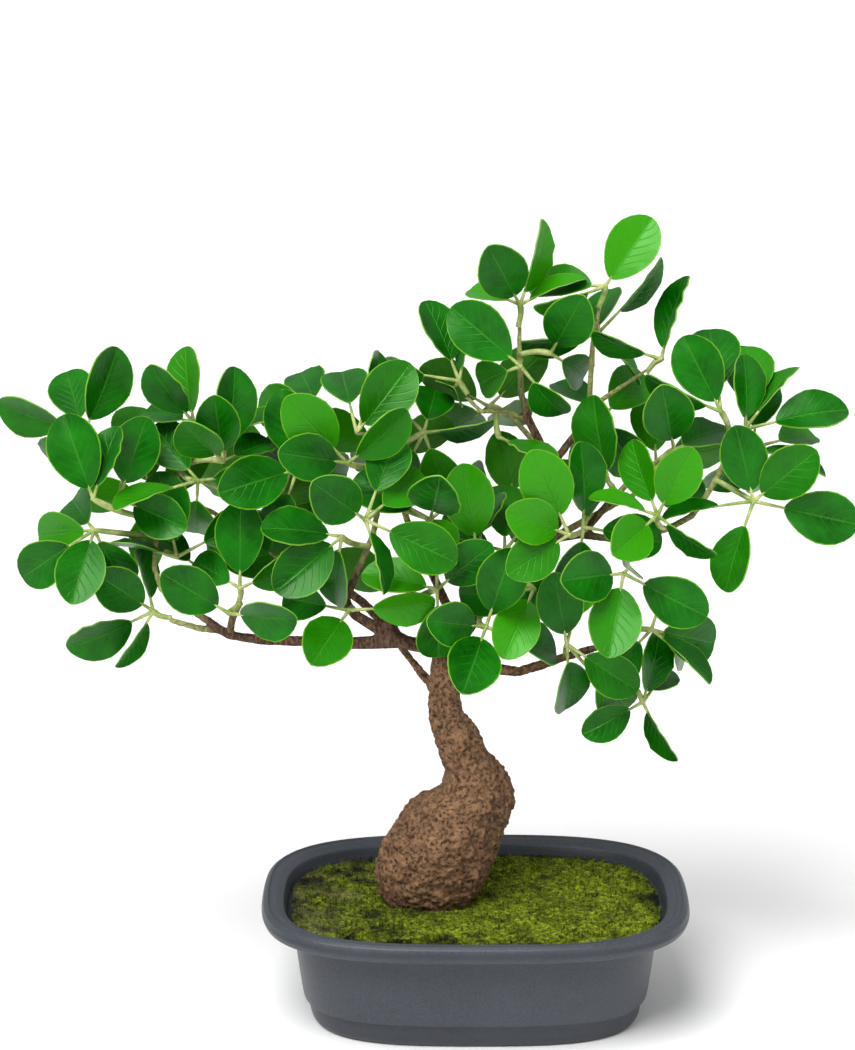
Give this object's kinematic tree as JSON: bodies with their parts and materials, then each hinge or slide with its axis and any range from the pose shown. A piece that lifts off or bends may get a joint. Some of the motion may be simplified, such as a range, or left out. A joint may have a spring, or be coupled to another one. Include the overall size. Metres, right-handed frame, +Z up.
{
  "type": "potted bonsai tree",
  "caption": "Small bonsai tree with a swollen bark trunk, spreading branches and sprays of rounded green leaves, rooted in mossy soil in a low dark pot with rounded corners.",
  "frame": {"origin": "centre of the flat underside of the pot, where it rests", "axes": "+Z up along the tree, +X along the long side of the pot towards the lower, right-hand branches, -Y towards the front, the side the leaves face"},
  "size_m": [0.3917, 0.152, 0.3741],
  "materials": {
    "pot": "satin dark slate grey",
    "soil": "matte, packed",
    "moss": "matte, tufted",
    "bark": "rough, pitted bark",
    "leaf_light": "satin, paler green",
    "leaf_deep": "satin, deep green"
  },
  "bodies": {
    "root": {"pot": "pot", "soil": "soil", "moss": "moss", "trunk_and_branches": "bark", "spray_far_left_top": "leaf_light", "spray_far_left_upper": "leaf_deep", "spray_far_left_lower": "leaf_deep", "spray_left_shoulder": "leaf_light", "spray_left_low_tip": "leaf_deep", "spray_left_top": "leaf_deep", "spray_left_crest": "leaf_light", "spray_left_heart": "leaf_deep", "spray_left_inner": "leaf_deep", "spray_left_under": "leaf_light", "spray_left_front_low": "leaf_deep", "spray_left_front": "leaf_deep", "spray_middle_top": "leaf_light", "spray_middle_left": "leaf_deep", "spray_middle_front": "leaf_deep", "spray_middle_crest": "leaf_light", "spray_middle_heart": "leaf_deep", "spray_middle_low": "leaf_deep", "spray_middle_under": "leaf_light", "spray_centre_top": "leaf_deep", "spray_centre_left": "leaf_deep", "spray_centre_middle": "leaf_light", "spray_centre_low": "leaf_deep", "spray_trunk_top": "leaf_deep", "spray_centre_inner": "leaf_light", "spray_crown_left": "leaf_deep", "spray_crown_left_low": "leaf_deep", "spray_crown_tip_left": "leaf_light", "spray_crown_front": "leaf_deep", "spray_crown_middle": "leaf_deep", "spray_crown_tip": "leaf_light", "spray_crown_right": "leaf_deep", "spray_crown_base": "leaf_deep", "spray_right_spike": "leaf_light", "spray_right_crest": "leaf_deep", "spray_right_top": "leaf_deep", "spray_right_side": "leaf_light", "spray_right_end": "leaf_deep", "spray_right_inner": "leaf_deep", "spray_right_heart": "leaf_light", "spray_centre_right_high": "leaf_deep", "spray_centre_right": "leaf_deep", "spray_centre_right_front": "leaf_light", "spray_centre_back": "leaf_deep", "spray_right_front": "leaf_deep", "spray_low_front": "leaf_light", "spray_low_drop": "leaf_deep", "spray_low_right": "leaf_deep", "spray_back_far_left": "leaf_light", "spray_back_left": "leaf_deep", "spray_back_left_low": "leaf_deep", "spray_back_middle": "leaf_light", "spray_back_centre": "leaf_deep", "spray_back_centre_low": "leaf_deep", "spray_back_right": "leaf_light"}
  },
  "joints": []
}
